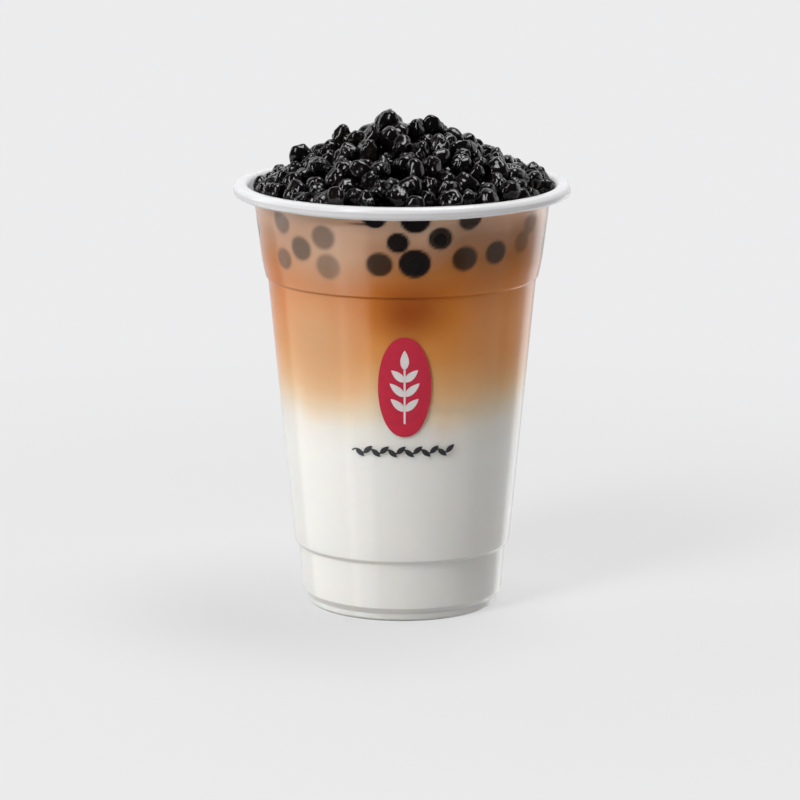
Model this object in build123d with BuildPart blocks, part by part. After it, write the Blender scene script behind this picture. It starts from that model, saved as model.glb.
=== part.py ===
"""Bubble tea in a clear takeaway cup.

A thin injection-moulded cup with a curled rim, a stacking shoulder and two small ledges over its foot.
It holds a layer of milk, a layer of milk tea over that, and a mound of cooked tapioca pearls that stands
above the rim.

Millimetres, +Z up. The origin is the centre of the ring that the cup stands on, and the printed front
of the cup faces -Y.
"""

import math
import os
import random

from build123d import *

# The cup, on its outer face
CUP_HEIGHT = 121.0
RIM_RADIUS = 47.5
WALL = 0.6
MOUTH_RADIUS = 44.2  # where the wall turns over into the curl of the rim
CURL_DEPTH = 3.2
CURL_ROUNDING = 0.8
CURL_RETURN = 1.4  # how far the curl's end comes back under the rim
NECK_RADIUS, NECK_HEIGHT = 41.5, 114.5  # top of the band that a lid's skirt grips
SHOULDER_RADIUS, SHOULDER_HEIGHT = 39.6, 99.5
BODY_TOP_RADIUS, BODY_TOP_HEIGHT = 37.95, 94.2
STACKING_LEDGE = 0.65
BODY_FOOT_RADIUS, BODY_FOOT_HEIGHT = 30.75, 18.0
BAND_TOP_RADIUS, BAND_TOP_HEIGHT = 29.55, 17.0
BAND_FOOT_RADIUS, BAND_FOOT_HEIGHT = 28.5, 3.9
FOOT_RADIUS, FOOT_HEIGHT = 27.1, 2.2
STANDING_RING = 22.4  # inner radius of the flat ring that the cup stands on
BASE_RECESS = 2.6

# What is in it
MILK_TOP = 62.0
LEVEL = 117.0  # surface of the tea
MOUND_PEAK = 139.5
MOUND_EDGE = 120.8  # where the mound's envelope meets the wall
MOUND_CURVE = 1.25  # 1 is a cone, 2 a rounded dome
MOUND_STEPS = 6

# The pearls of the mound's two-peaked crest, from left to right, as (x, y, height of centre, radius)
CREST = [
    (-39.3, 1.0, 118.6, 3.2),
    (-35.0, 1.0, 120.7, 3.2),
    (-28.3, 0.0, 128.2, 3.3),
    (-22.6, 1.5, 126.5, 3.3),
    (-16.8, 0.0, 132.9, 3.4),
    (-11.0, 1.0, 131.8, 3.3),
    (-4.2, 0.0, 138.0, 3.5),
    (1.8, 1.0, 134.7, 3.3),
    (8.7, 0.0, 136.5, 3.4),
    (14.4, 1.0, 132.8, 3.3),
    (20.8, 0.5, 128.7, 3.3),
    (26.6, 0.0, 126.6, 3.3),
    (32.2, 1.0, 123.3, 3.3),
    (36.8, 0.0, 122.6, 3.2),
    (39.9, -3.0, 119.4, 3.1),
]

# The other pearls that make the mound's uneven outline
PEARL_RADII = (3.0, 3.2, 3.5, 3.8)
PEARLS = 120
PEARL_SINK = 3.2  # how deep a pearl's centre lies under the mound's envelope
PEARL_SCATTER = 0.9
CORE_SINK = 3.6  # how deep the solid core lies under the envelope
GOLDEN_ANGLE = math.radians(137.508)
SEED = 7

# Outer face of the wall up from the base's centre, as (radius, height, rounding of that corner)
WALL_CORNERS = [
    (0.0, BASE_RECESS, 0.0),
    (STANDING_RING - 1.4, BASE_RECESS, 0.8),
    (STANDING_RING, 0.0, 0.3),
    (FOOT_RADIUS - 0.2, 0.0, 1.0),
    (FOOT_RADIUS, FOOT_HEIGHT, 0.3),
    (BAND_FOOT_RADIUS, BAND_FOOT_HEIGHT, 0.8),
    (BAND_TOP_RADIUS, BAND_TOP_HEIGHT, 0.4),
    (BODY_FOOT_RADIUS, BODY_FOOT_HEIGHT, 1.0),
    (BODY_TOP_RADIUS, BODY_TOP_HEIGHT, 0.2),
    (BODY_TOP_RADIUS + STACKING_LEDGE, BODY_TOP_HEIGHT + 0.5, 0.7),
    (SHOULDER_RADIUS, SHOULDER_HEIGHT, 12.0),
    (NECK_RADIUS, NECK_HEIGHT, 6.0),
    (MOUTH_RADIUS, CUP_HEIGHT - WALL, CURL_ROUNDING),
]
# The rest of the curl's hollow side
CURL_CORNERS = [
    (RIM_RADIUS - WALL, CUP_HEIGHT - WALL, CURL_ROUNDING),
    (RIM_RADIUS - WALL, CUP_HEIGHT - CURL_DEPTH + WALL, 0.4),
    (RIM_RADIUS - WALL - CURL_RETURN, CUP_HEIGHT - CURL_DEPTH + WALL, 0.0),
]


def inner_corners(corners):
    """The same corners one wall thickness to the left, with roundings that share their centres."""
    ways = []
    for (r0, z0, _), (r1, z1, _) in zip(corners, corners[1:]):
        length = math.hypot(r1 - r0, z1 - z0)
        ways.append(((r1 - r0) / length, (z1 - z0) / length))
    moved = []
    for number, (radius, height, rounding) in enumerate(corners):
        before = ways[max(number - 1, 0)]
        after = ways[min(number, len(ways) - 1)]
        turn = before[0] * after[1] - before[1] * after[0]
        share = WALL / (1.0 + before[0] * after[0] + before[1] * after[1])
        new_radius = radius - share * (before[1] + after[1])
        new_height = height + share * (before[0] + after[0])
        new_rounding = rounding - math.copysign(WALL, turn)
        moved.append((new_radius, new_height, max(new_rounding, 0.1)))
    return moved


def rounded_line(corners):
    """A line through the corners, each inner one rounded by its own radius."""
    points = [(radius, height) for radius, height, _ in corners]
    return FilletPolyline(*points, radius=[rounding for _, _, rounding in corners[1:-1]])


def mound_height(radius):
    """Height of the mound's envelope at a distance from the axis."""
    share = min(radius / (MOUTH_RADIUS - WALL), 1.0)
    return MOUND_EDGE + (MOUND_PEAK - MOUND_EDGE) * (1.0 - share**MOUND_CURVE)


def pearl_places():
    """Centres of the mound's pearls, one list for each size: the crest, then a spiral out from the axis."""
    chance = random.Random(SEED)
    places = {size: [] for size in PEARL_RADII}
    for x, y, height, size in CREST:
        places.setdefault(size, []).append((x, y, height))
    for number in range(PEARLS):
        size = PEARL_RADII[chance.randrange(len(PEARL_RADII))]
        reach = MOUTH_RADIUS - WALL - size
        distance = reach * math.sqrt((number + 0.5) / PEARLS)
        angle = number * GOLDEN_ANGLE
        lift = chance.uniform(-PEARL_SCATTER, PEARL_SCATTER)
        height = mound_height(distance) - PEARL_SINK + lift
        places[size].append((distance * math.cos(angle), distance * math.sin(angle), height))
    return places


# The cup: one wall of even thickness, from the recessed base to the end of the curl
with BuildPart() as cup:
    with BuildSketch(Plane.XZ):
        with BuildLine():
            outer_line = rounded_line(WALL_CORNERS + CURL_CORNERS)
            inner_line = rounded_line(inner_corners(WALL_CORNERS + CURL_CORNERS))
            Line(outer_line @ 0, inner_line @ 0)
            Line(outer_line @ 1, inner_line @ 1)
        make_face()
    revolve(axis=Axis.Z)

# The room inside the wall, and straight up from the mouth, as a half section
with BuildSketch() as room:
    with BuildLine():
        wall_side = rounded_line(inner_corners(WALL_CORNERS + CURL_CORNERS)[: len(WALL_CORNERS)])
        Polyline(
            wall_side @ 1,
            (MOUTH_RADIUS - WALL, CUP_HEIGHT + 30.0),
            (0.0, CUP_HEIGHT + 30.0),
            wall_side @ 0,
        )
    make_face()


def keep_between(bottom, top):
    """Cut the sketch being built down to what lies between two heights."""
    with Locations((MOUTH_RADIUS / 2, (bottom + top) / 2)):
        Rectangle(MOUTH_RADIUS + 10.0, top - bottom, mode=Mode.INTERSECT)


# The drink, filling the room in two layers
with BuildPart() as milk:
    with BuildSketch(Plane.XZ):
        add(room.sketch)
        keep_between(0.0, MILK_TOP)
    revolve(axis=Axis.Z)

with BuildPart() as tea:
    with BuildSketch(Plane.XZ):
        add(room.sketch)
        keep_between(MILK_TOP, LEVEL)
    revolve(axis=Axis.Z)

# The mound: a core up from the tea's surface, the pearls that stand out of it, all kept in the room
with BuildPart() as pearl_heap:
    with BuildSketch(Plane.XZ):
        with BuildLine():
            distances = [MOUTH_RADIUS * step / MOUND_STEPS for step in range(MOUND_STEPS + 1)]
            slope = Spline([(distance, mound_height(distance) - CORE_SINK) for distance in distances])
            Polyline(slope @ 1, (MOUTH_RADIUS, LEVEL), (0.0, LEVEL), slope @ 0)
        make_face()
    revolve(axis=Axis.Z)
    for pearl_radius, centres in pearl_places().items():
        with Locations(*centres):
            Sphere(pearl_radius)
    with BuildSketch(Plane.XZ):
        add(room.sketch)
        keep_between(LEVEL, CUP_HEIGHT + 30.0)
    revolve(axis=Axis.Z, mode=Mode.INTERSECT)

cup.part.label = "cup"
milk.part.label = "milk"
tea.part.label = "tea"
pearl_heap.part.label = "pearl_heap"

os.makedirs("parts", exist_ok=True)
export_step(cup.part, "parts/cup.step")
export_step(milk.part, "parts/milk.step")
export_step(tea.part, "parts/tea.step")
export_step(pearl_heap.part, "parts/pearl_heap.step")
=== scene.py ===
import math
import random

import bmesh
import bpy
import numpy as np
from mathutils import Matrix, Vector, noise


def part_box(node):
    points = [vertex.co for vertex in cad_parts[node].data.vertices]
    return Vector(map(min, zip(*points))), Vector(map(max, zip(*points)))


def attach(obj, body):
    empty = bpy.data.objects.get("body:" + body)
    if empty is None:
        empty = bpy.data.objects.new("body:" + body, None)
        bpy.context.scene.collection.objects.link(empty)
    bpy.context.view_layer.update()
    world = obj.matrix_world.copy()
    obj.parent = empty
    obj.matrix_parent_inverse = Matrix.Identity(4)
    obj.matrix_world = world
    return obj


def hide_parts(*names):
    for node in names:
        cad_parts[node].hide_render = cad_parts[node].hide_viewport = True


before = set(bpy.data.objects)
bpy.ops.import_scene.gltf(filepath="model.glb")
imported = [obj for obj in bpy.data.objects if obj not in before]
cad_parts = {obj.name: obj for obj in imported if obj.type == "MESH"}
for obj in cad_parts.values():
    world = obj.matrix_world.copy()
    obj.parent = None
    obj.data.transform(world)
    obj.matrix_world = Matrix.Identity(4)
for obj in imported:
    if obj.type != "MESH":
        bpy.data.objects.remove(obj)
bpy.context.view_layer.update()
MM = 0.001

# ---- The cup ----------------------------------------------------------------------------------------
# A takeaway cup of clear polypropylene, injection moulded in one piece with an even wall. Its rim is
# rolled over hot into a curl, which turns milky, and the shoulder and foot ledges are moulded in.

WALL = 0.6 * MM
CUP_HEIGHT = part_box("cup")[1].z
RIM_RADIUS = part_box("cup")[1].x
MOUTH_RADIUS = RIM_RADIUS - 3.3 * MM
CURL_DEPTH = 3.2 * MM
CURL_RETURN = 1.4 * MM
CUP_AROUND = 160
CUP_RUN = 2.0 * MM
HUB = 1.0 * MM  # the lathe's own small radius, taken off every profile

# Outer face of the wall up from the base's centre, as (radius, height, rounding of that corner)
wall_corners = [
    (0.0, 2.6 * MM, 0.0),
    (21.0 * MM, 2.6 * MM, 0.8 * MM),
    (22.4 * MM, 0.0, 0.3 * MM),
    (26.9 * MM, 0.0, 1.0 * MM),
    (27.1 * MM, 2.2 * MM, 0.3 * MM),
    (28.5 * MM, 3.9 * MM, 0.8 * MM),
    (29.55 * MM, 17.0 * MM, 0.4 * MM),
    (30.75 * MM, 18.0 * MM, 1.0 * MM),
    (37.95 * MM, 94.2 * MM, 0.2 * MM),
    (38.6 * MM, 94.7 * MM, 0.7 * MM),
    (39.6 * MM, 99.5 * MM, 12.0 * MM),
    (41.5 * MM, 114.5 * MM, 6.0 * MM),
    (MOUTH_RADIUS, CUP_HEIGHT - WALL, 0.8 * MM),
]
curl_corners = [
    (RIM_RADIUS - WALL, CUP_HEIGHT - WALL, 0.8 * MM),
    (RIM_RADIUS - WALL, CUP_HEIGHT - CURL_DEPTH + WALL, 0.4 * MM),
    (RIM_RADIUS - WALL - CURL_RETURN, CUP_HEIGHT - CURL_DEPTH + WALL, 0.0),
]


def moved_left(corners, amount):
    """The corners of a line moved to its left, with roundings that keep their centres."""
    ways = []
    for (r0, z0, _), (r1, z1, _) in zip(corners, corners[1:]):
        length = math.hypot(r1 - r0, z1 - z0)
        ways.append(((r1 - r0) / length, (z1 - z0) / length))
    moved = []
    for number, (radius, height, rounding) in enumerate(corners):
        before = ways[max(number - 1, 0)]
        after = ways[min(number, len(ways) - 1)]
        turn = before[0] * after[1] - before[1] * after[0]
        share = amount / (1.0 + before[0] * after[0] + before[1] * after[1])
        new_radius = radius - share * (before[1] + after[1])
        new_height = height + share * (before[0] + after[0])
        moved.append((new_radius, new_height, max(rounding - math.copysign(amount, turn), 0.1 * MM)))
    return moved


def node(tree, kind, inputs=None, **settings):
    """A new node, its settings, and its inputs given by name or number as values or sockets."""
    made = tree.nodes.new(kind)
    for name, value in settings.items():
        setattr(made, name, value)
    for key, value in (inputs or {}).items():
        if isinstance(value, bpy.types.NodeSocket):
            tree.links.new(value, made.inputs[key])
        else:
            made.inputs[key].default_value = value
    return made


def modifier_tree(name, inputs):
    """A Geometry Nodes tree with the named inputs (name, socket type), and its group input."""
    tree = bpy.data.node_groups.new(name, "GeometryNodeTree")
    tree.interface.new_socket("Geometry", in_out="INPUT", socket_type="NodeSocketGeometry")
    tree.interface.new_socket("Geometry", in_out="OUTPUT", socket_type="NodeSocketGeometry")
    for label, kind in inputs:
        tree.interface.new_socket(label, in_out="INPUT", socket_type=kind)
    return tree, tree.nodes.new("NodeGroupInput")


def lathe_tree():
    """Rounds the corners of a half profile, steps its straight runs and turns it about Z."""
    tree, given = modifier_tree(
        "lathe",
        [
            ("Around", "NodeSocketInt"),
            ("Corner Steps", "NodeSocketInt"),
            ("Run Step", "NodeSocketFloat"),
            ("Hub", "NodeSocketFloat"),
            ("Sharp From", "NodeSocketFloat"),
            ("Skin", "NodeSocketMaterial"),
        ],
    )
    profile = node(tree, "GeometryNodeMeshToCurve", {"Mesh": given.outputs["Geometry"]})
    rounding = node(tree, "GeometryNodeInputNamedAttribute", {"Name": "rounding"}, data_type="FLOAT")
    rounded = node(
        tree,
        "GeometryNodeFilletCurve",
        {
            "Curve": profile.outputs["Curve"],
            "Count": given.outputs["Corner Steps"],
            "Radius": rounding.outputs["Attribute"],
            "Limit Radius": True,
        },
        mode="POLY",
    )
    place = node(tree, "GeometryNodeInputPosition")
    index = node(tree, "GeometryNodeInputIndex")
    following = node(tree, "ShaderNodeMath", {0: index.outputs["Index"], 1: 1.0}, operation="ADD")
    ahead = node(
        tree,
        "GeometryNodeFieldAtIndex",
        {"Value": place.outputs["Position"], "Index": following.outputs["Value"]},
        data_type="FLOAT_VECTOR",
    )
    run = node(
        tree,
        "ShaderNodeVectorMath",
        {0: place.outputs["Position"], 1: ahead.outputs["Value"]},
        operation="DISTANCE",
    )
    cuts = node(
        tree,
        "ShaderNodeMath",
        {0: run.outputs["Value"], 1: given.outputs["Run Step"]},
        operation="DIVIDE",
    )
    stepped = node(
        tree,
        "GeometryNodeSubdivideCurve",
        {"Curve": rounded.outputs["Curve"], "Cuts": cuts.outputs["Value"]},
    )
    circle = node(
        tree,
        "GeometryNodeCurvePrimitiveCircle",
        {"Resolution": given.outputs["Around"], "Radius": given.outputs["Hub"]},
    )
    turned = node(
        tree,
        "GeometryNodeCurveToMesh",
        {"Curve": circle.outputs["Curve"], "Profile Curve": stepped.outputs["Curve"]},
    )
    welded = node(
        tree,
        "GeometryNodeMergeByDistance",
        {"Geometry": turned.outputs["Mesh"], "Distance": 0.002 * MM},
    )
    outward = node(tree, "GeometryNodeFlipFaces", {"Mesh": welded.outputs["Geometry"]})
    smooth = node(tree, "GeometryNodeSetShadeSmooth", {"Geometry": outward.outputs["Mesh"]})
    fold = node(tree, "GeometryNodeInputMeshEdgeAngle")
    gentle = node(
        tree,
        "FunctionNodeCompare",
        {"A": fold.outputs["Unsigned Angle"], "B": given.outputs["Sharp From"]},
        data_type="FLOAT",
        operation="LESS_THAN",
    )
    creased = node(
        tree,
        "GeometryNodeSetShadeSmooth",
        {"Geometry": smooth.outputs["Geometry"], "Shade Smooth": gentle.outputs["Result"]},
        domain="EDGE",
    )
    real = node(tree, "GeometryNodeRealizeInstances", {"Geometry": creased.outputs["Geometry"]})
    skin = node(
        tree,
        "GeometryNodeSetMaterial",
        {"Geometry": real.outputs["Geometry"], "Material": given.outputs["Skin"]},
    )
    node(tree, "NodeGroupOutput", {"Geometry": skin.outputs["Geometry"]})
    return tree


def grown(name, mesh, tree, values):
    """The plain mesh object that a tree makes of a mesh, with its inputs set by their socket ids."""
    seed_object = bpy.data.objects.new(name + "_start", mesh)
    bpy.context.scene.collection.objects.link(seed_object)
    modifier = seed_object.modifiers.new("grow", "NODES")
    modifier.node_group = tree
    for socket in tree.interface.items_tree:
        if socket.item_type == "SOCKET" and socket.in_out == "INPUT" and socket.name in values:
            modifier[socket.identifier] = values[socket.name]
    bpy.context.view_layer.update()
    evaluated = seed_object.evaluated_get(bpy.context.evaluated_depsgraph_get())
    plain = bpy.data.meshes.new_from_object(evaluated)
    plain.name = name
    bpy.data.objects.remove(seed_object)
    piece = bpy.data.objects.new(name, plain)
    bpy.context.scene.collection.objects.link(piece)
    return piece


lathe = lathe_tree()


def lathed(name, corners, skin, around=CUP_AROUND, corner_steps=7, run=CUP_RUN):
    """A piece turned about Z from (radius, height, rounding) corners."""
    mesh = bpy.data.meshes.new(name)
    points = [(radius - HUB, -height, 0.0) for radius, height, _ in corners]
    mesh.from_pydata(points, [(i, i + 1) for i in range(len(points) - 1)], [])
    mesh.attributes.new("rounding", "FLOAT", "POINT").data.foreach_set("value", [c[2] for c in corners])
    values = {
        "Around": around,
        "Corner Steps": corner_steps,
        "Run Step": run,
        "Hub": HUB,
        "Sharp From": 0.7,
        "Skin": skin,
    }
    return grown(name, mesh, lathe, values)


def surface(name):
    """A new material's tree, its output node and its Principled node."""
    material = bpy.data.materials.new(name)
    material.use_nodes = True
    tree = material.node_tree
    return material, tree, tree.nodes["Material Output"], tree.nodes["Principled BSDF"]


def settle(shader, **values):
    """Sets a shader's own sockets, named with underscores for spaces."""
    for name, value in values.items():
        shader.inputs[name.replace("_", " ")].default_value = value


def clear_plastic():
    """Clear polypropylene, with a faint mould texture. Lamps reach straight through it."""
    material, tree, output, plastic = surface("clear_polypropylene")
    settle(plastic, Base_Color=(0.985, 0.985, 0.98, 1), Roughness=0.2, IOR=1.49, Transmission_Weight=1.0)
    place = node(tree, "ShaderNodeTexCoord")
    ripple = node(
        tree,
        "ShaderNodeTexNoise",
        {"Vector": place.outputs["Object"], "Scale": 60.0, "Detail": 1.0},
    )
    bump = node(
        tree,
        "ShaderNodeBump",
        {"Height": ripple.outputs["Fac"], "Strength": 0.25, "Distance": 0.3 * MM},
    )
    tree.links.new(bump.outputs["Normal"], plastic.inputs["Normal"])
    path = node(tree, "ShaderNodeLightPath")
    through = node(tree, "ShaderNodeBsdfTransparent", {"Color": (0.95, 0.95, 0.95, 1)})
    mixed = node(
        tree,
        "ShaderNodeMixShader",
        {0: path.outputs["Is Shadow Ray"], 1: plastic.outputs["BSDF"], 2: through.outputs["BSDF"]},
    )
    tree.links.new(mixed.outputs["Shader"], output.inputs["Surface"])
    return material


def milky_plastic(name, clearness):
    """The same plastic where rolling has clouded it, with smoother and duller patches."""
    material, tree, _, plastic = surface(name)
    settle(plastic, Base_Color=(0.93, 0.93, 0.94, 1), IOR=1.49, Transmission_Weight=clearness)
    place = node(tree, "ShaderNodeTexCoord")
    cloud = node(
        tree,
        "ShaderNodeTexNoise",
        {"Vector": place.outputs["Object"], "Scale": 60.0, "Detail": 1.0},
    )
    rough = node(
        tree,
        "ShaderNodeMapRange",
        {"Value": cloud.outputs["Fac"], "To Min": 0.16, "To Max": 0.3},
    )
    tree.links.new(rough.outputs["Result"], plastic.inputs["Roughness"])
    return material


cup_line = wall_corners + curl_corners
cup = lathed("cup_wall_and_rim", cup_line + moved_left(cup_line, WALL)[::-1], clear_plastic())
cup.data.materials.append(milky_plastic("hazy_curl", 0.2))
cup.data.materials.append(milky_plastic("milky_rim", 0.0))
CURL_START = CUP_HEIGHT - CURL_DEPTH - 0.3 * MM
MILKY_START = CUP_HEIGHT - 1.3 * MM
for face in cup.data.polygons:
    if face.center.z > CURL_START:
        face.material_index = 2 if face.center.z > MILKY_START else 1
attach(cup, "root")
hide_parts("cup")

# ---- The print on the front ---------------------------------------------------------------------------
# A crimson oval with a white sprig, and a dark vine under it: plain shapes in ink, printed on the outside
# of the wall before the cup is filled.

OVAL_MIDDLE, OVAL_WIDTH, OVAL_HEIGHT = (0.7, 69.2), 14.8, 28.5  # millimetres across and up the wall
VINE_MIDDLE, VINE_LENGTH = (-0.3, 50.6), 28.0
INK = 0.05 * MM


def ink(name, colour):
    """Screen-printing ink, slightly uneven in tone and gloss."""
    material, tree, _, film = surface(name)
    settle(film, Specular_IOR_Level=0.4)
    place = node(tree, "ShaderNodeTexCoord")
    patchy = node(
        tree,
        "ShaderNodeTexNoise",
        {"Vector": place.outputs["Object"], "Scale": 500.0, "Detail": 3.0},
    )
    ramp = node(tree, "ShaderNodeValToRGB", {"Fac": patchy.outputs["Fac"]})
    ramp.color_ramp.elements[0].color = (*[0.86 * part for part in colour], 1.0)
    ramp.color_ramp.elements[1].color = (*[min(1.08 * part, 0.95) for part in colour], 1.0)
    tree.links.new(ramp.outputs["Color"], film.inputs["Base Color"])
    gloss = node(
        tree,
        "ShaderNodeMapRange",
        {"Value": patchy.outputs["Fac"], "To Min": 0.3, "To Max": 0.5},
    )
    tree.links.new(gloss.outputs["Result"], film.inputs["Roughness"])
    return material


def leaf(foot, length, width, lean):
    """A leaf's middle line and half widths, from its foot, leaning from upright in degrees."""
    a = math.radians(lean)
    line, halves = [], []
    for step in range(13):
        t = step / 12
        line.append((foot[0] + length * t * math.sin(a), foot[1] + length * t * math.cos(a)))
        halves.append(0.5 * width * math.sin(math.pi * t**0.8) ** 0.8)
    return line, halves, 4


def printed(name, strips, lift, skin):
    """Films of ink round the wall, from strips given as a middle line, half widths and a count across."""
    film = bmesh.new()
    foot_radius, foot_height, _ = wall_corners[7]
    top_radius, top_height, _ = wall_corners[8]
    for line, halves, across in strips:
        sheets = []
        for raised in (lift + INK, lift):
            for k, ((x, z), half) in enumerate(zip(line, halves)):
                before, after = line[max(k - 1, 0)], line[min(k + 1, len(line) - 1)]
                way = Vector((after[0] - before[0], after[1] - before[1])).normalized()
                for j in range(across + 1):
                    side = half * (2 * j / across - 1)
                    height = (z - way.x * side) * MM
                    share = (height - foot_height) / (top_height - foot_height)
                    radius = foot_radius + (top_radius - foot_radius) * share + raised
                    angle = (x + way.y * side) * MM / radius
                    place = (radius * math.sin(angle), -radius * math.cos(angle), height)
                    sheets.append(film.verts.new(place))
        row, back = across + 1, len(line) * (across + 1)
        for k in range(len(line) - 1):
            for j in range(across):
                a = k * row + j
                film.faces.new([sheets[i] for i in (a, a + 1, a + row + 1, a + row)])
                film.faces.new([sheets[i + back] for i in (a + row, a + row + 1, a + 1, a)])
            for a in (k * row, k * row + across):
                film.faces.new([sheets[i] for i in (a, a + row, a + row + back, a + back)])
        for end in (0, (len(line) - 1) * row):
            for a in range(end, end + across):
                film.faces.new([sheets[i] for i in (a, a + 1, a + 1 + back, a + back)])
    bmesh.ops.remove_doubles(film, verts=film.verts, dist=0.001 * MM)
    bmesh.ops.recalc_face_normals(film, faces=film.faces)
    mesh = bpy.data.meshes.new(name)
    film.to_mesh(mesh)
    film.free()
    mesh.materials.append(skin)
    piece = bpy.data.objects.new(name, mesh)
    bpy.context.scene.collection.objects.link(piece)
    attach(piece, "root")
    return piece


oval_line, oval_halves = [], []
for step in range(49):
    turn = math.pi * step / 48
    oval_line.append((OVAL_MIDDLE[0], OVAL_MIDDLE[1] - 0.5 * OVAL_HEIGHT * math.cos(turn)))
    oval_halves.append(0.5 * OVAL_WIDTH * math.sin(turn) ** 0.9)
printed("print_oval", [(oval_line, oval_halves, 16)], 0.0, ink("crimson_ink", (0.66, 0.018, 0.055)))

x, z = OVAL_MIDDLE
stem = [(x, z - 10.5 + 16.0 * step / 12) for step in range(13)]
sprig = [(stem, [0.28] * 13, 2), leaf((x, z + 5.0), 5.6, 2.4, 0.0)]
for rise, length in ((-6.8, 5.2), (-2.6, 5.6), (1.6, 5.0)):
    for lean in (48.0, -48.0):
        sprig.append(leaf((x, z + rise), length, 2.1, lean))
printed("print_sprig", sprig, INK, ink("white_ink", (0.86, 0.80, 0.79)))

x, z = VINE_MIDDLE
wave = [VINE_LENGTH * (step / 72 - 0.5) for step in range(73)]
vine = [([(x + across, z + 0.5 * math.sin(across * 1.35)) for across in wave], [0.22] * 73, 2)]
for number in range(12):
    across = VINE_LENGTH * ((number + 0.5) / 12 - 0.5)
    start = (x + across, z + 0.5 * math.sin(across * 1.35))
    vine.append(leaf(start, 3.2, 1.5, 50.0 if number % 2 else 130.0))
printed("print_vine", vine, 0.0, ink("dark_ink", (0.045, 0.045, 0.050)))

# ---- Milk and tea -----------------------------------------------------------------------------------
# Cold milk at the bottom and strong black milk tea poured gently over it, so that the two stay apart and
# only blend in wisps where they meet. Both are pressed into the wall by a tenth of a millimetre.

REACH = 0.1 * MM
MILK_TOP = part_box("milk")[1].z
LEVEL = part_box("tea")[1].z
LAYER_CORNERS_BELOW_MILK_TOP = 8
WISP = 4.0  # millimetres that a wisp lifts or lowers the blend

wet_line = moved_left(wall_corners, WALL - REACH)


def wall_radius(height):
    """Radius of the drink's side at a height."""
    for (r0, z0, _), (r1, z1, _) in zip(wet_line[3:], wet_line[4:]):
        if z0 <= height <= z1:
            return r0 + (r1 - r0) * (height - z0) / (z1 - z0)
    return wet_line[-1][0]


def drink(name, roughness, patches):
    """Milk tea: its colour by height, stirred by noise, with soft patches partly of painted light and
    shade, the pearls' shade, and painted shade on its top under the heap.
    """
    material, tree, _, liquid = surface(name)
    settle(
        liquid,
        Roughness=roughness,
        Specular_IOR_Level=0.1,
        Subsurface_Weight=0.25,
        Subsurface_Radius=(1.0, 0.55, 0.3),
        Subsurface_Scale=3.0 * MM,
    )
    place = node(tree, "ShaderNodeTexCoord")
    apart = node(tree, "ShaderNodeSeparateXYZ", {"Vector": place.outputs["Object"]})
    stretched = node(
        tree,
        "ShaderNodeMapping",
        {"Vector": place.outputs["Object"], "Scale": (1.0, 1.0, 0.35)},
    )
    wisps = node(
        tree,
        "ShaderNodeTexNoise",
        {"Vector": stretched.outputs["Vector"], "Scale": 42.0, "Detail": 3.0, "Roughness": 0.5},
    )
    lift = node(
        tree,
        "ShaderNodeMapRange",
        {
            "Value": wisps.outputs["Fac"],
            "From Min": 0.2,
            "From Max": 0.8,
            "To Min": -WISP * MM,
            "To Max": WISP * MM,
        },
    )
    height = node(
        tree,
        "ShaderNodeMath",
        {0: apart.outputs["Z"], 1: lift.outputs["Result"]},
        operation="ADD",
    )
    share = node(
        tree,
        "ShaderNodeMapRange",
        {"Value": height.outputs["Value"], "From Min": 50.0 * MM, "From Max": 117.0 * MM},
    )
    ramp = node(tree, "ShaderNodeValToRGB", {"Fac": share.outputs["Result"]})
    stops = [
        (50.0, (0.87, 0.86, 0.83)),
        (57.0, (0.85, 0.81, 0.75)),
        (62.0, (0.848, 0.7, 0.519)),
        (68.0, (0.816, 0.53, 0.276)),
        (77.5, (0.753, 0.355, 0.101)),
        (88.0, (0.689, 0.265, 0.048)),
        (97.0, (0.615, 0.212, 0.032)),
        (104.0, (0.53, 0.212, 0.058)),
        # The two top stops are paler partly as the tea's own colour and partly as painted light, lifted
        # against the rim's shadow on the tea's top
        (110.0, (0.551, 0.297, 0.17)),
        (117.0, (0.912, 0.636, 0.456)),
    ]
    elements = ramp.color_ramp.elements
    while len(elements) < len(stops):
        elements.new(0.5)
    for element, (millimetres, colour) in zip(elements, stops):
        element.position = (millimetres - 50.0) / 67.0
        element.color = (*colour, 1.0)
    colour = ramp.outputs["Color"]
    for middle, reach, weight, tint in patches:
        near = node(
            tree,
            "ShaderNodeVectorMath",
            {0: place.outputs["Object"], 1: tuple(part * MM for part in middle)},
            operation="SUBTRACT",
        )
        spread = node(
            tree,
            "ShaderNodeVectorMath",
            {0: near.outputs["Vector"], 1: tuple(1 / (part * MM) for part in reach)},
            operation="MULTIPLY",
        )
        away = node(tree, "ShaderNodeVectorMath", {0: spread.outputs["Vector"]}, operation="LENGTH")
        share = node(
            tree,
            "ShaderNodeMapRange",
            {"Value": away.outputs["Value"], "From Max": 1.0, "To Min": weight, "To Max": 0.0},
            interpolation_type="SMOOTHSTEP",
        )
        mixed = node(
            tree,
            "ShaderNodeMix",
            {0: share.outputs["Result"], 6: colour, 7: (*tint, 1.0)},
            data_type="RGBA",
        )
        colour = mixed.outputs[2]
    # The attribute darkens the tea where pearls are seen through it, and as painted shade on its top
    # under the heap
    murk_and_heap_shade = node(tree, "ShaderNodeAttribute", attribute_name="murk_and_heap_shade")
    dark = node(
        tree,
        "ShaderNodeMix",
        {0: murk_and_heap_shade.outputs["Fac"], 6: colour, 7: (0.010, 0.006, 0.005, 1.0)},
        data_type="RGBA",
    )
    tree.links.new(dark.outputs[2], liquid.inputs["Base Color"])
    return material


milk_corners = wet_line[:LAYER_CORNERS_BELOW_MILK_TOP] + [
    (wall_radius(MILK_TOP), MILK_TOP, 0.0),
    (0.0, MILK_TOP, 0.0),
]
tea_corners = [
    (0.0, MILK_TOP, 0.0),
    (wall_radius(MILK_TOP), MILK_TOP, 0.0),
    *wet_line[LAYER_CORNERS_BELOW_MILK_TOP:-1],
    (wall_radius(LEVEL), LEVEL, 0.0),
    (0.0, LEVEL, 0.0),
]
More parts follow.
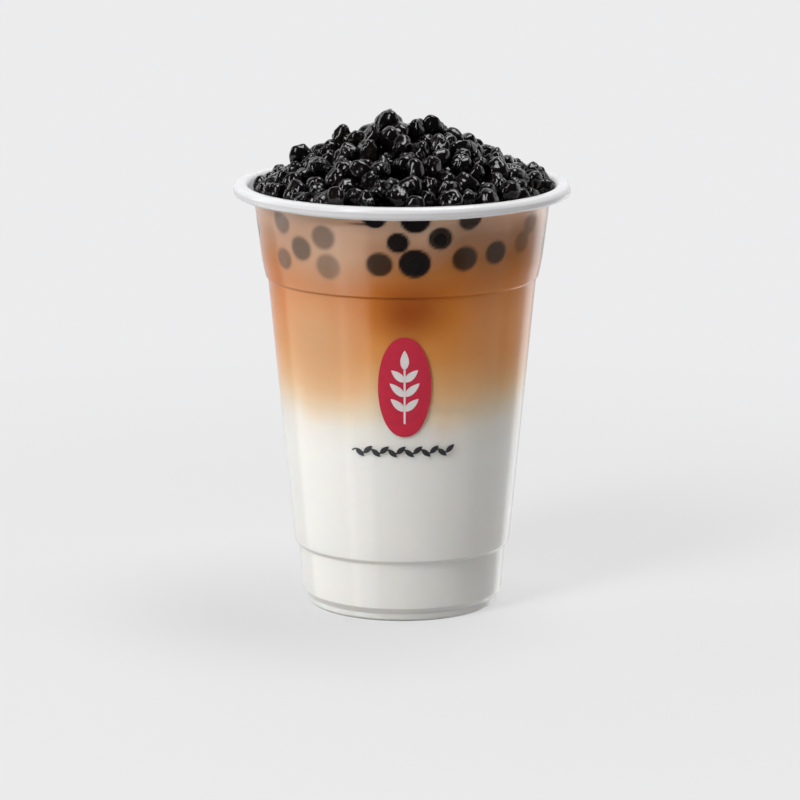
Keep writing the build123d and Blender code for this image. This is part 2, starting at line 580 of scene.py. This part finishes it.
# Soft patches as (middle, reach each way, weight, colour), in millimetres, where the drink is unevenly
# mixed and where light and shade are painted into it: paler, milkier tea up the left and lighter tea up
# the right, partly painted light of the side lamps; the strongest tea at the front under the pearls,
# partly painted shade, kept darker than the sides that the lamps lighten; paler tea among the pearls at
# the left, partly painted light of the left lamps; and a dark line at the surface, painted shade under
# the rim.
patches = [
    # Painted light, in part: the left side paler and milkier, as if lit by the left lamps
    ((-24.0, -28.0, 81.0), (22.0, 24.0, 27.0), 0.8, (0.647, 0.392, 0.201)),
    # Painted light, in part: the right side lighter
    ((30.0, -22.0, 85.0), (20.0, 24.0, 24.0), 0.7, (0.89, 0.445, 0.191)),
    # Painted shade, in part: the front darker than the lit sides
    ((1.5, -37.0, 90.5), (16.0, 20.0, 12.5), 0.8, (0.307, 0.053, 0.003)),
    # Painted light, in part: the upper left paler
    ((-20.0, -32.0, 107.0), (26.0, 26.0, 15.0), 0.85, (0.657, 0.435, 0.286)),
    # Painted shade: a dark line just under the rim at the front left, where the rim shades the tea
    ((-10.5, -38.0, 115.7), (7.0, 14.0, 0.7), 0.85, (0.106, 0.032, 0.021)),
]
liquid = drink("milk_tea", 0.5, patches)
milk = lathed("milk_layer", milk_corners, liquid)
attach(milk, "root")
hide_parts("milk")

# ---- Pearls under the surface -----------------------------------------------------------------------
# Cooked tapioca balls that sank a little way into the tea and pressed against the wall.

# Angle from the front, height, radius, and how much of its darkness the tea before it hides
sunk_places = [
    (-1.6, 110.5, 2.9, 0.0),
    (14.9, 111.5, 3.2, 0.05),
    (5.0, 104.6, 4.1, 0.0),
    (-9.0, 104.3, 3.4, 0.1),
    (25.5, 105.4, 3.5, 0.12),
    (40.0, 106.2, 3.3, 0.15),
    (55.0, 107.9, 3.1, 0.6),
    (-43.8, 107.0, 3.4, 0.3),
    (-32.2, 111.0, 3.4, 0.4),
    (-30.8, 102.8, 3.5, 0.5),
    (-55.0, 103.1, 3.0, 0.4),
    (5.0, 117.1, 3.9, 0.0),
    (26.4, 116.7, 3.2, 0.1),
    (-10.4, 118.0, 3.4, 0.05),
    (60.3, 112.8, 3.1, 0.6),
    (-54.0, 113.5, 3.2, 0.4),
]
chance = random.Random(5)
for number in range(17):
    angle = 83.0 + number * 12.1 + chance.uniform(-2.5, 2.5)
    height = 103.5 + 5.3 * (number % 3) + chance.uniform(-1.6, 1.6)
    sunk_places.append((angle, height, chance.uniform(3.0, 3.8), chance.uniform(0.0, 0.4)))

BALL_CUTS = 4
ball = bmesh.new()
bmesh.ops.create_icosphere(ball, subdivisions=BALL_CUTS, radius=1.0)
ball_points = np.array([v.co for v in ball.verts])
ball_faces = [[v.index for v in f.verts] for f in ball.faces]
ball.free()


def sunk_pearl(angle, height, radius, hidden, number):
    """Points of one pearl, squashed flat where it meets the wall or the tea before it."""
    a = math.radians(angle)
    height *= MM
    radius *= MM
    out = np.array([math.sin(a), -math.cos(a), 0.0])
    reach = wall_radius(height) - (0.4 * MM if hidden > 0.08 else 0.0)
    centre = out * (reach - radius * 0.82) + np.array([0, 0, height])
    shift = Vector((number * 3.1, number * 1.7, 0.0))
    lumps = np.array([noise.noise(Vector(p) * 1.3 + shift) for p in ball_points])
    points = centre + ball_points * (radius * (1.0 + 0.10 * lumps))[:, None]
    flat = np.hypot(points[:, 0], points[:, 1])
    press = 0.12 * MM if hidden < 0.08 else -0.3 * MM
    limit = np.array([wall_radius(min(z, CUP_HEIGHT)) for z in points[:, 2]]) + press
    over = flat > limit
    points[over, :2] *= (limit[over] / flat[over])[:, None]
    points[:, 2] = np.minimum(points[:, 2], LEVEL + 1.0 * MM)
    return points


sunk_balls = [sunk_pearl(*place, n) for n, place in enumerate(sunk_places)]
points = np.concatenate(sunk_balls)
faces = [[i + n * len(ball_points) for i in f] for n in range(len(sunk_places)) for f in ball_faces]


def pearl_skin(name):
    """Cooked tapioca under syrup: nearly black, brown where it thins, wet and uneven."""
    material, tree, _, skin = surface(name)
    settle(skin, Specular_IOR_Level=0.12, Coat_Weight=1.0, Coat_Roughness=0.14, Coat_IOR=1.42)
    place = node(tree, "ShaderNodeTexCoord")
    tone = node(
        tree,
        "ShaderNodeTexNoise",
        {"Vector": place.outputs["Object"], "Scale": 160.0, "Detail": 3.0},
    )
    ramp = node(tree, "ShaderNodeValToRGB", {"Fac": tone.outputs["Fac"]})
    ramp.color_ramp.elements[0].position = 0.35
    ramp.color_ramp.elements[0].color = (0.0015, 0.001, 0.0015, 1.0)
    ramp.color_ramp.elements[1].position = 0.75
    ramp.color_ramp.elements[1].color = (0.009, 0.0055, 0.005, 1.0)
    tree.links.new(ramp.outputs["Color"], skin.inputs["Base Color"])
    wet = node(
        tree,
        "ShaderNodeMapRange",
        {"Value": tone.outputs["Fac"], "To Min": 0.1, "To Max": 0.34},
    )
    tree.links.new(wet.outputs["Result"], skin.inputs["Roughness"])
    run_down = node(
        tree,
        "ShaderNodeMapping",
        {"Vector": place.outputs["Object"], "Scale": (1.0, 1.0, 0.3)},
    )
    grain = node(
        tree,
        "ShaderNodeTexNoise",
        {"Vector": run_down.outputs["Vector"], "Scale": 210.0, "Detail": 1.0, "Roughness": 0.4},
    )
    bump = node(
        tree,
        "ShaderNodeBump",
        {"Height": grain.outputs["Fac"], "Strength": 0.6, "Distance": 1.0 * MM},
    )
    tree.links.new(bump.outputs["Normal"], skin.inputs["Normal"])
    tree.links.new(bump.outputs["Normal"], skin.inputs["Coat Normal"])
    return material


def sunk_skin():
    """The same tapioca seen through tea and plastic, which take its shine away."""
    material, tree, _, skin = surface("sunk_tapioca")
    settle(skin, Specular_IOR_Level=0.05, Roughness=0.7)
    place = node(tree, "ShaderNodeTexCoord")
    tone = node(tree, "ShaderNodeTexNoise", {"Vector": place.outputs["Object"], "Scale": 220.0})
    ramp = node(tree, "ShaderNodeValToRGB", {"Fac": tone.outputs["Fac"]})
    ramp.color_ramp.elements[0].color = (0.004, 0.004, 0.005, 1.0)
    ramp.color_ramp.elements[1].color = (0.022, 0.016, 0.014, 1.0)
    tree.links.new(ramp.outputs["Color"], skin.inputs["Base Color"])
    return material


mesh = bpy.data.meshes.new("sunk_pearls")
mesh.from_pydata(points.tolist(), [], faces)
mesh.materials.append(sunk_skin())
mesh.shade_smooth()
sunk = bpy.data.objects.new("sunk_pearls", mesh)
bpy.context.scene.collection.objects.link(sunk)
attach(sunk, "root")

# The tea itself is turned here, once the pearls that darken its side are known.

MURK_EDGE = 0.7  # millimetres over which a pearl's outline fades
MURK_HAZE = 0.06
HEAP_SHADE_CLEARNESS = 0.12  # of the tea's top between the pearls, darkened as painted shade under the heap

tea = lathed("tea_layer", tea_corners, liquid, around=400, run=0.7 * MM)
spots = np.array([v.co for v in tea.data.vertices])
clear = np.ones(len(spots))
for (angle, height, radius, hidden), ball in zip(sunk_places, sunk_balls):
    middle = ball.mean(0)
    across = math.radians(angle) - np.arctan2(spots[:, 0], -spots[:, 1])
    across = (across + math.pi) % (2 * math.pi) - math.pi
    away = np.hypot(across * np.hypot(middle[0], middle[1]), spots[:, 2] - height * MM)
    blur = MURK_EDGE * (1.0 + 2.0 * hidden) * MM
    outside = np.clip((away - radius * MM) / blur + 0.5, 0, 1)
    print_of_pearl = (1.0 - hidden) * (1.0 - outside * outside * (3.0 - 2.0 * outside))
    haze = MURK_HAZE * np.exp(-((away / (1.9 * radius * MM)) ** 2))
    clear *= (1.0 - print_of_pearl) * (1.0 - haze)
# Painted shade: the tea's top between the pearls is darkened where the heap shades it
on_top = spots[:, 2] > LEVEL - 0.1 * MM
off_the_wall = np.hypot(spots[:, 0], spots[:, 1]) < wall_radius(LEVEL) - 0.5 * MM
clear[on_top & off_the_wall] *= HEAP_SHADE_CLEARNESS
tea.data.attributes.new("murk_and_heap_shade", "FLOAT", "POINT").data.foreach_set("value", 1.0 - clear)
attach(tea, "root")
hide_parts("tea")

tapioca = pearl_skin("wet_tapioca")

# ---- The heap of pearls -----------------------------------------------------------------------------
# Scooped on last, straight from their syrup, so they stick together in a mound above the rim.

HEAP_PEAK = 139.8 * MM
HEAP_EDGE = 120.6 * MM
HEAP_CURVE = 1.25
HEAP_LUMP = 0.9 * MM
HEAP_SEED = 11
NEAREST = 0.85  # distance that packed pearls settle towards, as a share of their two radii
CREASE_WIDTH = 0.09  # share of the noise's range that a crease takes up
LUMP_SCALE = 210.0
TOP_COUNT, TOP_SMALLEST, TOP_LARGEST = 152, 2.7 * MM, 4.0 * MM
LOW_COUNT, LOW_SMALLEST, LOW_LARGEST, LOW_DEPTH = 110, 2.8 * MM, 3.6 * MM, 5.0 * MM
CORE_DEPTH = 8.5 * MM  # of the core under the heap's envelope
CORE_STEPS = 6

# The pearls of the heap's crest, from left to right, as (x, y, height of centre, radius) in millimetres
crest = [
    (-39.3, 1.0, 118.6, 3.2),
    (-35.0, 1.0, 120.7, 3.2),
    (-28.3, 0.0, 128.2, 3.3),
    (-22.6, 1.5, 126.5, 3.3),
    (-16.8, 0.0, 132.9, 3.4),
    (-11.0, 1.0, 131.8, 3.3),
    (-4.2, 0.0, 138.0, 3.5),
    (1.8, 1.0, 134.7, 3.3),
    (8.7, 0.0, 136.5, 3.4),
    (14.4, 1.0, 132.8, 3.3),
    (20.8, 0.5, 128.7, 3.3),
    (26.6, 0.0, 126.6, 3.3),
    (32.2, 1.0, 123.3, 3.3),
    (36.8, 0.0, 122.6, 3.2),
    (39.9, -3.0, 119.4, 3.1),
]
crest_centres = np.array([place[:3] for place in crest]) * MM
crest_sizes = np.array([place[3] for place in crest]) * MM


def heap_height(x, y):
    """Height of the heap's outer envelope over a point, a little lower behind."""
    share = np.clip(np.hypot(x, y) / (MOUTH_RADIUS - WALL), 0.0, 1.0)
    behind = 1.0 * MM * np.clip(y / (20.0 * MM), 0.0, 1.0) * (1.0 - share)
    return HEAP_EDGE + (HEAP_PEAK - HEAP_EDGE) * (1.0 - share**HEAP_CURVE) - behind


def packed(count, depth, smallest, largest, seed, fixed, fixed_size):
    """Centres and radii of pearls settled against each other and the fixed ones, under the envelope."""
    rng = np.random.default_rng(seed)
    size = rng.uniform(smallest, largest, count)
    steps = np.arange(count)
    distance = (MOUTH_RADIUS - WALL - size) * np.sqrt((steps + 0.5) / count)
    angle = steps * math.radians(137.508)
    centre = np.stack([distance * np.cos(angle), distance * np.sin(angle), np.zeros(count)], 1)
    centre[:, :2] += rng.normal(0, 0.5 * MM, (count, 2))
    lump = rng.normal(0, HEAP_LUMP, count)
    centre[:, 2] = heap_height(centre[:, 0], centre[:, 1]) - size - depth + lump
    for _ in range(120):
        everything = np.concatenate([centre, fixed])
        radii = np.concatenate([size, fixed_size])
        gap = centre[:, None, :] - everything[None, :, :]
        length = np.linalg.norm(gap, axis=2) + 1e-9
        push = np.clip((size[:, None] + radii[None, :]) * NEAREST - length, 0, None)
        push[np.arange(count), np.arange(count)] = 0.0
        centre += (gap / length[:, :, None] * push[:, :, None] * 0.3).sum(1)
        wanted = heap_height(centre[:, 0], centre[:, 1]) - size - depth + lump
        centre[:, 2] += (wanted - centre[:, 2]) * 0.15
        flat = np.hypot(centre[:, 0], centre[:, 1])
        side = np.array([wall_radius(min(max(z, 0.1), CUP_HEIGHT)) for z in centre[:, 2] - 0.6 * size])
        limit = side - size * 1.03
        over = flat > limit
        centre[over, :2] *= (limit[over] / flat[over])[:, None]
    return centre, size


def pearl_tree():
    """A pearl on every point, turned and squashed by the point's own values, then lumpy and creased."""
    tree, given = modifier_tree(
        "pearls",
        [
            ("Cuts", "NodeSocketInt"),
            ("Lump Scale", "NodeSocketFloat"),
            ("Lump Depth", "NodeSocketFloat"),
            ("Crease Scale", "NodeSocketFloat"),
            ("Crease Depth", "NodeSocketFloat"),
            ("Skin", "NodeSocketMaterial"),
        ],
    )
    place = node(tree, "GeometryNodeInputPosition")
    kept = node(
        tree,
        "GeometryNodeStoreNamedAttribute",
        {"Geometry": given.outputs["Geometry"], "Name": "centre", "Value": place.outputs["Position"]},
        data_type="FLOAT_VECTOR",
        domain="POINT",
    )
    points = node(tree, "GeometryNodeMeshToPoints", {"Mesh": kept.outputs["Geometry"]})
    shape = node(
        tree, "GeometryNodeMeshIcoSphere", {"Radius": 1.0, "Subdivisions": given.outputs["Cuts"]}
    )
    turn = node(tree, "GeometryNodeInputNamedAttribute", {"Name": "turn"}, data_type="FLOAT_VECTOR")
    size = node(tree, "GeometryNodeInputNamedAttribute", {"Name": "size"}, data_type="FLOAT_VECTOR")
    placed = node(
        tree,
        "GeometryNodeInstanceOnPoints",
        {
            "Points": points.outputs["Points"],
            "Instance": shape.outputs["Mesh"],
            "Rotation": turn.outputs["Attribute"],
            "Scale": size.outputs["Attribute"],
        },
    )
    real = node(tree, "GeometryNodeRealizeInstances", {"Geometry": placed.outputs["Instances"]})
    centre = node(tree, "GeometryNodeInputNamedAttribute", {"Name": "centre"}, data_type="FLOAT_VECTOR")
    here = node(tree, "GeometryNodeInputPosition")
    arm = node(
        tree,
        "ShaderNodeVectorMath",
        {0: here.outputs["Position"], 1: centre.outputs["Attribute"]},
        operation="SUBTRACT",
    )
    upright = node(
        tree,
        "ShaderNodeVectorMath",
        {0: here.outputs["Position"], 1: (1.0, 1.0, 0.55)},
        operation="MULTIPLY",
    )
    lumps = node(
        tree,
        "ShaderNodeTexNoise",
        {"Vector": upright.outputs["Vector"], "Scale": given.outputs["Lump Scale"], "Detail": 1.0},
    )
    lump = node(
        tree,
        "ShaderNodeMapRange",
        {
            "Value": lumps.outputs["Fac"],
            "From Min": 0.25,
            "From Max": 0.75,
            "To Min": -1.0,
            "To Max": 1.0,
        },
    )
    lump_part = node(
        tree,
        "ShaderNodeMath",
        {0: lump.outputs["Result"], 1: given.outputs["Lump Depth"]},
        operation="MULTIPLY",
    )
    creases = node(
        tree,
        "ShaderNodeTexNoise",
        {
            "Vector": upright.outputs["Vector"],
            "Scale": given.outputs["Crease Scale"],
            "Detail": 2.0,
            "Roughness": 0.45,
            "Distortion": 0.6,
        },
    )
    middle = node(
        tree, "ShaderNodeMath", {0: creases.outputs["Fac"], 1: 0.5}, operation="SUBTRACT"
    )
    fold = node(tree, "ShaderNodeMath", {0: middle.outputs["Value"]}, operation="ABSOLUTE")
    crease = node(
        tree,
        "ShaderNodeMapRange",
        {
            "Value": fold.outputs["Value"],
            "From Min": 0.0,
            "From Max": CREASE_WIDTH,
            "To Min": -1.0,
            "To Max": 0.0,
        },
        interpolation_type="SMOOTHSTEP",
    )
    crease_part = node(
        tree,
        "ShaderNodeMath",
        {0: crease.outputs["Result"], 1: given.outputs["Crease Depth"]},
        operation="MULTIPLY",
    )
    both = node(
        tree,
        "ShaderNodeMath",
        {0: lump_part.outputs["Value"], 1: crease_part.outputs["Value"]},
        operation="ADD",
    )
    moved = node(
        tree,
        "ShaderNodeVectorMath",
        {0: arm.outputs["Vector"], "Scale": both.outputs["Value"]},
        operation="SCALE",
    )
    shaped = node(
        tree,
        "GeometryNodeSetPosition",
        {"Geometry": real.outputs["Geometry"], "Offset": moved.outputs["Vector"]},
    )
    smooth = node(tree, "GeometryNodeSetShadeSmooth", {"Geometry": shaped.outputs["Geometry"]})
    skin = node(
        tree,
        "GeometryNodeSetMaterial",
        {"Geometry": smooth.outputs["Geometry"], "Material": given.outputs["Skin"]},
    )
    node(tree, "NodeGroupOutput", {"Geometry": skin.outputs["Geometry"]})
    return tree


pearls = pearl_tree()
wall_heights = np.linspace(LEVEL - 20 * MM, CUP_HEIGHT - 1.5 * MM, 60)
wall_reaches = np.array([wall_radius(height) for height in wall_heights])


def pearl_piece(name, centres, sizes, cuts, lump, crease, seed):
    """One mesh of all the pearls of a kind."""
    rng = np.random.default_rng(seed)
    mesh = bpy.data.meshes.new(name)
    mesh.from_pydata(centres.tolist(), [], [])
    scale = sizes[:, None] * rng.uniform((0.92, 0.88, 0.74), (1.22, 1.06, 1.0), (len(sizes), 3))
    turn = rng.uniform(-math.pi, math.pi, (len(sizes), 3))
    mesh.attributes.new("size", "FLOAT_VECTOR", "POINT").data.foreach_set("vector", scale.ravel())
    mesh.attributes.new("turn", "FLOAT_VECTOR", "POINT").data.foreach_set("vector", turn.ravel())
    values = {
        "Cuts": cuts,
        "Lump Scale": LUMP_SCALE,
        "Lump Depth": lump,
        "Crease Scale": LUMP_SCALE,
        "Crease Depth": crease,
        "Skin": tapioca,
    }
    piece = grown(name, mesh, pearls, values)
    # Pearls at the edge are pressed flat against the wall
    places = np.array([v.co for v in piece.data.vertices])
    flat = np.hypot(places[:, 0], places[:, 1])
    limit = np.interp(places[:, 2], wall_heights, wall_reaches) - 2.5 * REACH
    over = flat > limit
    places[over, :2] *= (limit[over] / flat[over])[:, None]
    piece.data.vertices.foreach_set("co", places.ravel())
    piece.data.update()
    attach(piece, "root")


top_centres, top_sizes = packed(
    TOP_COUNT, 0.0, TOP_SMALLEST, TOP_LARGEST, HEAP_SEED, crest_centres, crest_sizes
)
top_centres = np.concatenate([crest_centres, top_centres])
top_sizes = np.concatenate([crest_sizes, top_sizes])
low_centres, low_sizes = packed(
    LOW_COUNT, LOW_DEPTH, LOW_SMALLEST, LOW_LARGEST, HEAP_SEED + 1, top_centres, top_sizes
)
plump = np.arange(len(top_sizes)) % 5 < 3
pearl_piece("heap_pearls_plump", top_centres[plump], top_sizes[plump], 4, 0.26, 0.09, 21)
pearl_piece(
    "heap_pearls_creased", top_centres[~plump], top_sizes[~plump], 4, 0.34, 0.16, 27
)
pearl_piece("heap_pearls_under", low_centres, low_sizes, 3, 0.12, 0.05, 23)

core_corners = [(0.0, LEVEL - 2 * MM, 0.0), (wall_radius(LEVEL - 2 * MM), LEVEL - 2 * MM, 0.0)]
for step in range(CORE_STEPS, -1, -1):
    radius = (MOUTH_RADIUS - 5 * MM) * step / CORE_STEPS
    height = float(heap_height(radius, 0.0)) - CORE_DEPTH
    core_corners.append((radius, height, 1.0 * MM if 0 < step < CORE_STEPS else 0.0))
core = lathed("heap_core", core_corners, tapioca, around=96, corner_steps=3)
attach(core, "root")
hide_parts("pearl_heap")

# ---- Floor, light and camera ------------------------------------------------------------------------
# A pale studio table and soft lamps. The table is hidden from reflections, so that the lamps below its
# level are mirrored in the cup's wall as upright veils of light. The high ones light the drink.

bpy.ops.mesh.primitive_plane_add(size=8.0)
floor = bpy.context.object
floor.name = "floor"
floor.visible_glossy = False
floor_paint, tree, output, paint = surface("floor_paint")
settle(paint, Base_Color=(0.80, 0.80, 0.80, 1), Roughness=0.9, Specular_IOR_Level=0.1)
place = node(tree, "ShaderNodeTexCoord")
far = node(tree, "ShaderNodeVectorMath", {0: place.outputs["Object"]}, operation="LENGTH")
fading = node(
    tree,
    "ShaderNodeMapRange",
    {"Value": far.outputs["Value"], "From Min": 0.05, "From Max": 0.4, "To Min": 0.6},
    interpolation_type="SMOOTHSTEP",
)
path = node(tree, "ShaderNodeLightPath")
seen = node(
    tree,
    "ShaderNodeMath",
    {0: path.outputs["Is Camera Ray"], 1: path.outputs["Is Transmission Ray"]},
    operation="MAXIMUM",
)
share = node(
    tree,
    "ShaderNodeMath",
    {0: seen.outputs["Value"], 1: fading.outputs["Result"]},
    operation="MULTIPLY",
)
paper = node(tree, "ShaderNodeEmission", {"Color": (0.84, 0.84, 0.85, 1), "Strength": 1.0})
mixed = node(
    tree,
    "ShaderNodeMixShader",
    {0: share.outputs["Value"], 1: paint.outputs["BSDF"], 2: paper.outputs["Emission"]},
)
tree.links.new(mixed.outputs["Shader"], output.inputs["Surface"])
floor.data.materials.append(floor_paint)

world = bpy.data.worlds.new("studio")
bpy.context.scene.world = world
world.use_nodes = True
air = world.node_tree.nodes["Background"]
air.inputs["Color"].default_value = (0.98, 0.98, 1.0, 1)
way = node(world.node_tree, "ShaderNodeTexCoord")
parts = node(world.node_tree, "ShaderNodeSeparateXYZ", {"Vector": way.outputs["Generated"]})
behind = node(
    world.node_tree,
    "ShaderNodeMapRange",
    {"Value": parts.outputs["Y"], "From Min": 0.2, "From Max": 0.95, "To Min": 0.04, "To Max": 0.8},
    interpolation_type="SMOOTHSTEP",
)
world.node_tree.links.new(behind.outputs["Result"], air.inputs["Strength"])


def softbox(name, azimuth, height, distance, width, tall, power, aim=0.07):
    """A soft lamp aimed at the cup's middle. Azimuth 0 is in front, positive to the right."""
    a = math.radians(azimuth)
    data = bpy.data.lights.new(name, "AREA")
    data.shape = "RECTANGLE"
    data.size = width
    data.size_y = tall
    data.energy = power
    lamp = bpy.data.objects.new(name, data)
    bpy.context.scene.collection.objects.link(lamp)
    lamp.location = (distance * math.sin(a), -distance * math.cos(a), height)
    lamp.rotation_euler = (Vector((0, 0, aim)) - lamp.location).to_track_quat("-Z", "Y").to_euler()


softbox("left_wall", -86, -0.33, 0.9, 1.3, 0.6, 2.8)
softbox("left_wall_edge", -43, -0.33, 0.9, 0.45, 0.6, 1.4)
softbox("right_wall", 145, -0.33, 1.0, 0.4, 0.6, 0.7)
softbox("right_wall_edge", 75, -0.33, 1.0, 0.8, 0.6, 0.5)
softbox("key_strip", -40, 0.75, 0.9, 0.28, 0.9, 7.0)
softbox("left_strip", -112, 0.35, 0.9, 0.3, 0.6, 1.4)
softbox("right_fill", 100, 0.4, 1.0, 0.9, 0.7, 2.3)
softbox("top_box", 120, 1.1, 0.25, 0.6, 0.4, 5.4)

camera_data = bpy.data.cameras.new("camera")
camera_data.lens = 180
camera_data.sensor_width = 36
camera_data.shift_x = -0.0026
camera_data.clip_end = 50
camera = bpy.data.objects.new("camera", camera_data)
bpy.context.scene.collection.objects.link(camera)
tilt = math.radians(12.0)
target = Vector((0.0, 0.0, 0.05814))
CAMERA_DISTANCE = 1.14
camera.location = target + Vector((0, -math.cos(tilt), math.sin(tilt))) * CAMERA_DISTANCE
camera.rotation_euler = (target - camera.location).to_track_quat("-Z", "Y").to_euler()
bpy.context.scene.camera = camera
bpy.context.scene.view_settings.view_transform = "Standard"
